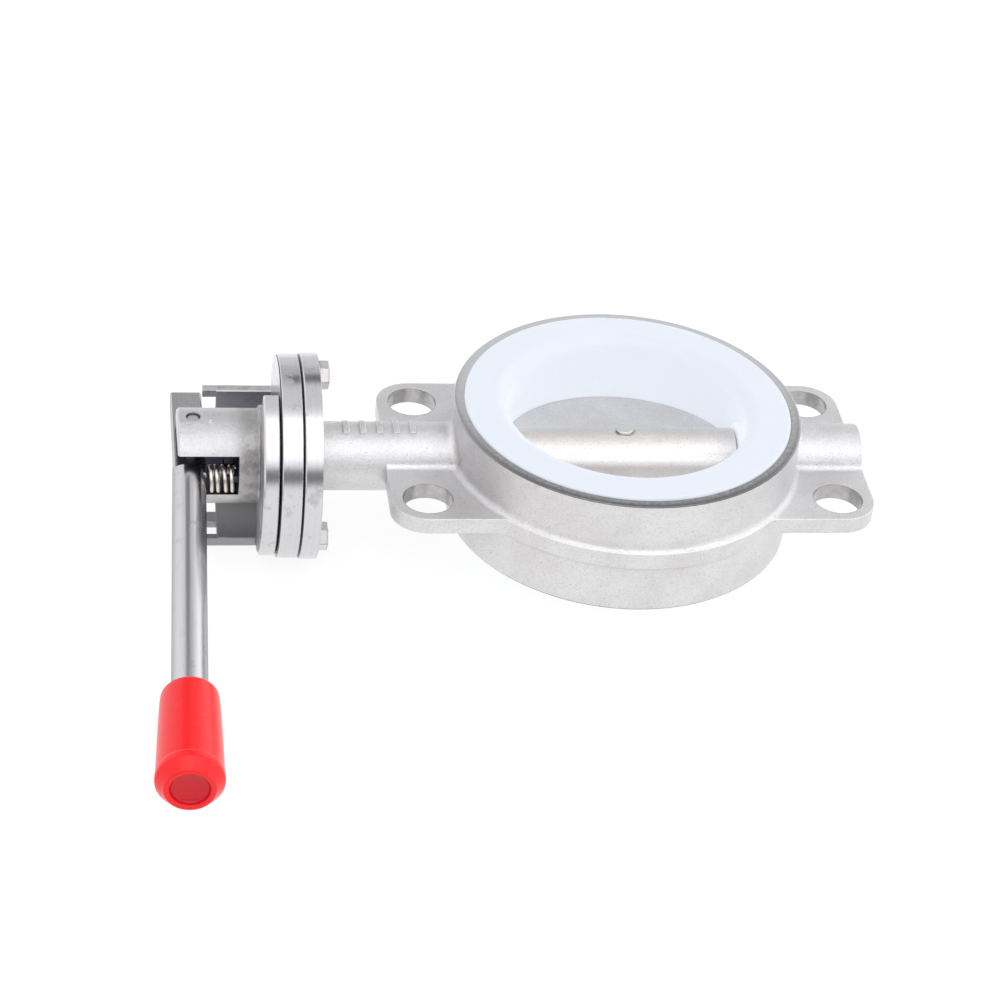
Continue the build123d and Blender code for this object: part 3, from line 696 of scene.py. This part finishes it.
def make_spring():
    """Compression spring: open turns that close up a little at both tapered ends."""
    wire_radius = 0.00084
    turns, steps = 4.3, 48
    closing = 0.3
    middle = (spring_low + spring_high) / 2
    coil_radius = (spring_high.z - spring_low.z) / 2 - wire_radius
    length = spring_high.x - spring_low.x - 2 * wire_radius
    points, radii = [], []
    total = int(turns * steps)
    for step in range(total + 1):
        turn = step / steps
        share = turn / turns
        eased = share - closing * math.sin(2 * math.pi * share) / (2 * math.pi)
        angle = 2 * math.pi * turn
        points.append(Vector((
            spring_high.x - wire_radius - length * eased,
            middle.y + coil_radius * math.sin(angle),
            middle.z + coil_radius * math.cos(angle),
        )))
        radii.append(wire_radius * min(1.0, 0.35 + min(step, total - step) / 6.0))
    piece = mesh_piece("coil_spring", *tube_along(points, radii, 14), spring_steel())
    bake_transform(piece)
    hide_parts("latch_spring")


def grip_profile():
    """(distance along the rod, radius) from the mouth's inside to the end's bowl, in millimetres."""
    mouth = [(139.0, 6.78), (136.7, 6.8), (136.3, 7.1), (136.2, 7.6), (136.2, 9.5), (136.35, 10.1)]
    sleeve = [(136.8, 10.5), (137.6, 10.7), (145.0, 11.05), (155.0, 11.4), (166.0, 11.75), (177.4, 12.0)]
    step = [(178.0, 12.02), (178.3, 12.2), (178.7, 12.28), (180.0, 12.3), (180.9, 12.28)]
    bevel = [(181.4, 12.05), (181.9, 11.7), (184.6, 9.75)]
    rim = [(185.0 + math.sin(t), 8.4 + math.cos(t)) for t in (0.3, 0.7, 1.1, 1.5)]
    brink = [(186.0, 7.9), (185.85, 7.4), (185.4, 7.05), (184.9, 6.95)]
    bowl = [(184.6 - 1.6 * math.sin(t), 6.9 * math.cos(t)) for t in (0.25, 0.5, 0.75, 1.0, 1.2, 1.38)]
    return mouth + sleeve + step + bevel + rim + brink + bowl


def make_grip():
    """Tapered plastic grip: sleeve, low step, bevelled end and a dished end face."""
    sides = 96
    bore = 7.2                               # up to this radius, in millimetres, the grip is true
    along = (ROD_FINISH - ROD_START).normalized()
    across = Vector((-along.y, along.x, 0.0)).normalized()
    phase = random.Random(4).uniform(0, 6.28)
    profile = grip_profile()
    vertices, faces = [], []
    for distance, radius in profile:
        for step in range(sides):
            turn = 2 * math.pi * step / sides
            sag = 1 + 0.004 * math.sin(2 * turn + phase) + 0.003 * math.sin(3 * turn + distance * 0.05)
            reach = radius * (sag if radius > bore else 1.0) * MM
            outward = math.cos(turn) * across + Vector((0, 0, math.sin(turn)))
            vertices.append(ROD_START + along * distance * MM + reach * outward)
    rows = len(profile)
    for row in range(rows - 1):
        for step in range(sides):
            a, b = row * sides + step, row * sides + (step + 1) % sides
            faces.append((a, a + sides, b + sides, b))
    last = (rows - 1) * sides
    middle = rows * sides
    vertices.append(ROD_START + along * profile[-1][0] * MM)
    faces.extend((middle, last + (step + 1) % sides, last + step) for step in range(sides))
    piece = mesh_piece("lever_grip", vertices, faces, grip_plastic())
    smooth = piece.modifiers.new("smooth", "SUBSURF")
    smooth.levels = 1
    smooth.render_levels = 2
    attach(piece, "lever")
    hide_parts("grip")


bpy.context.scene.view_settings.view_transform = "Standard"
make_camera()
make_world()
make_floor()
make_light("overhead", (-0.5, -0.6, 1.3), (0.0, 0.0, 0.0), 0.9, 2.0)
paint_cad()
make_spring()
make_grip()
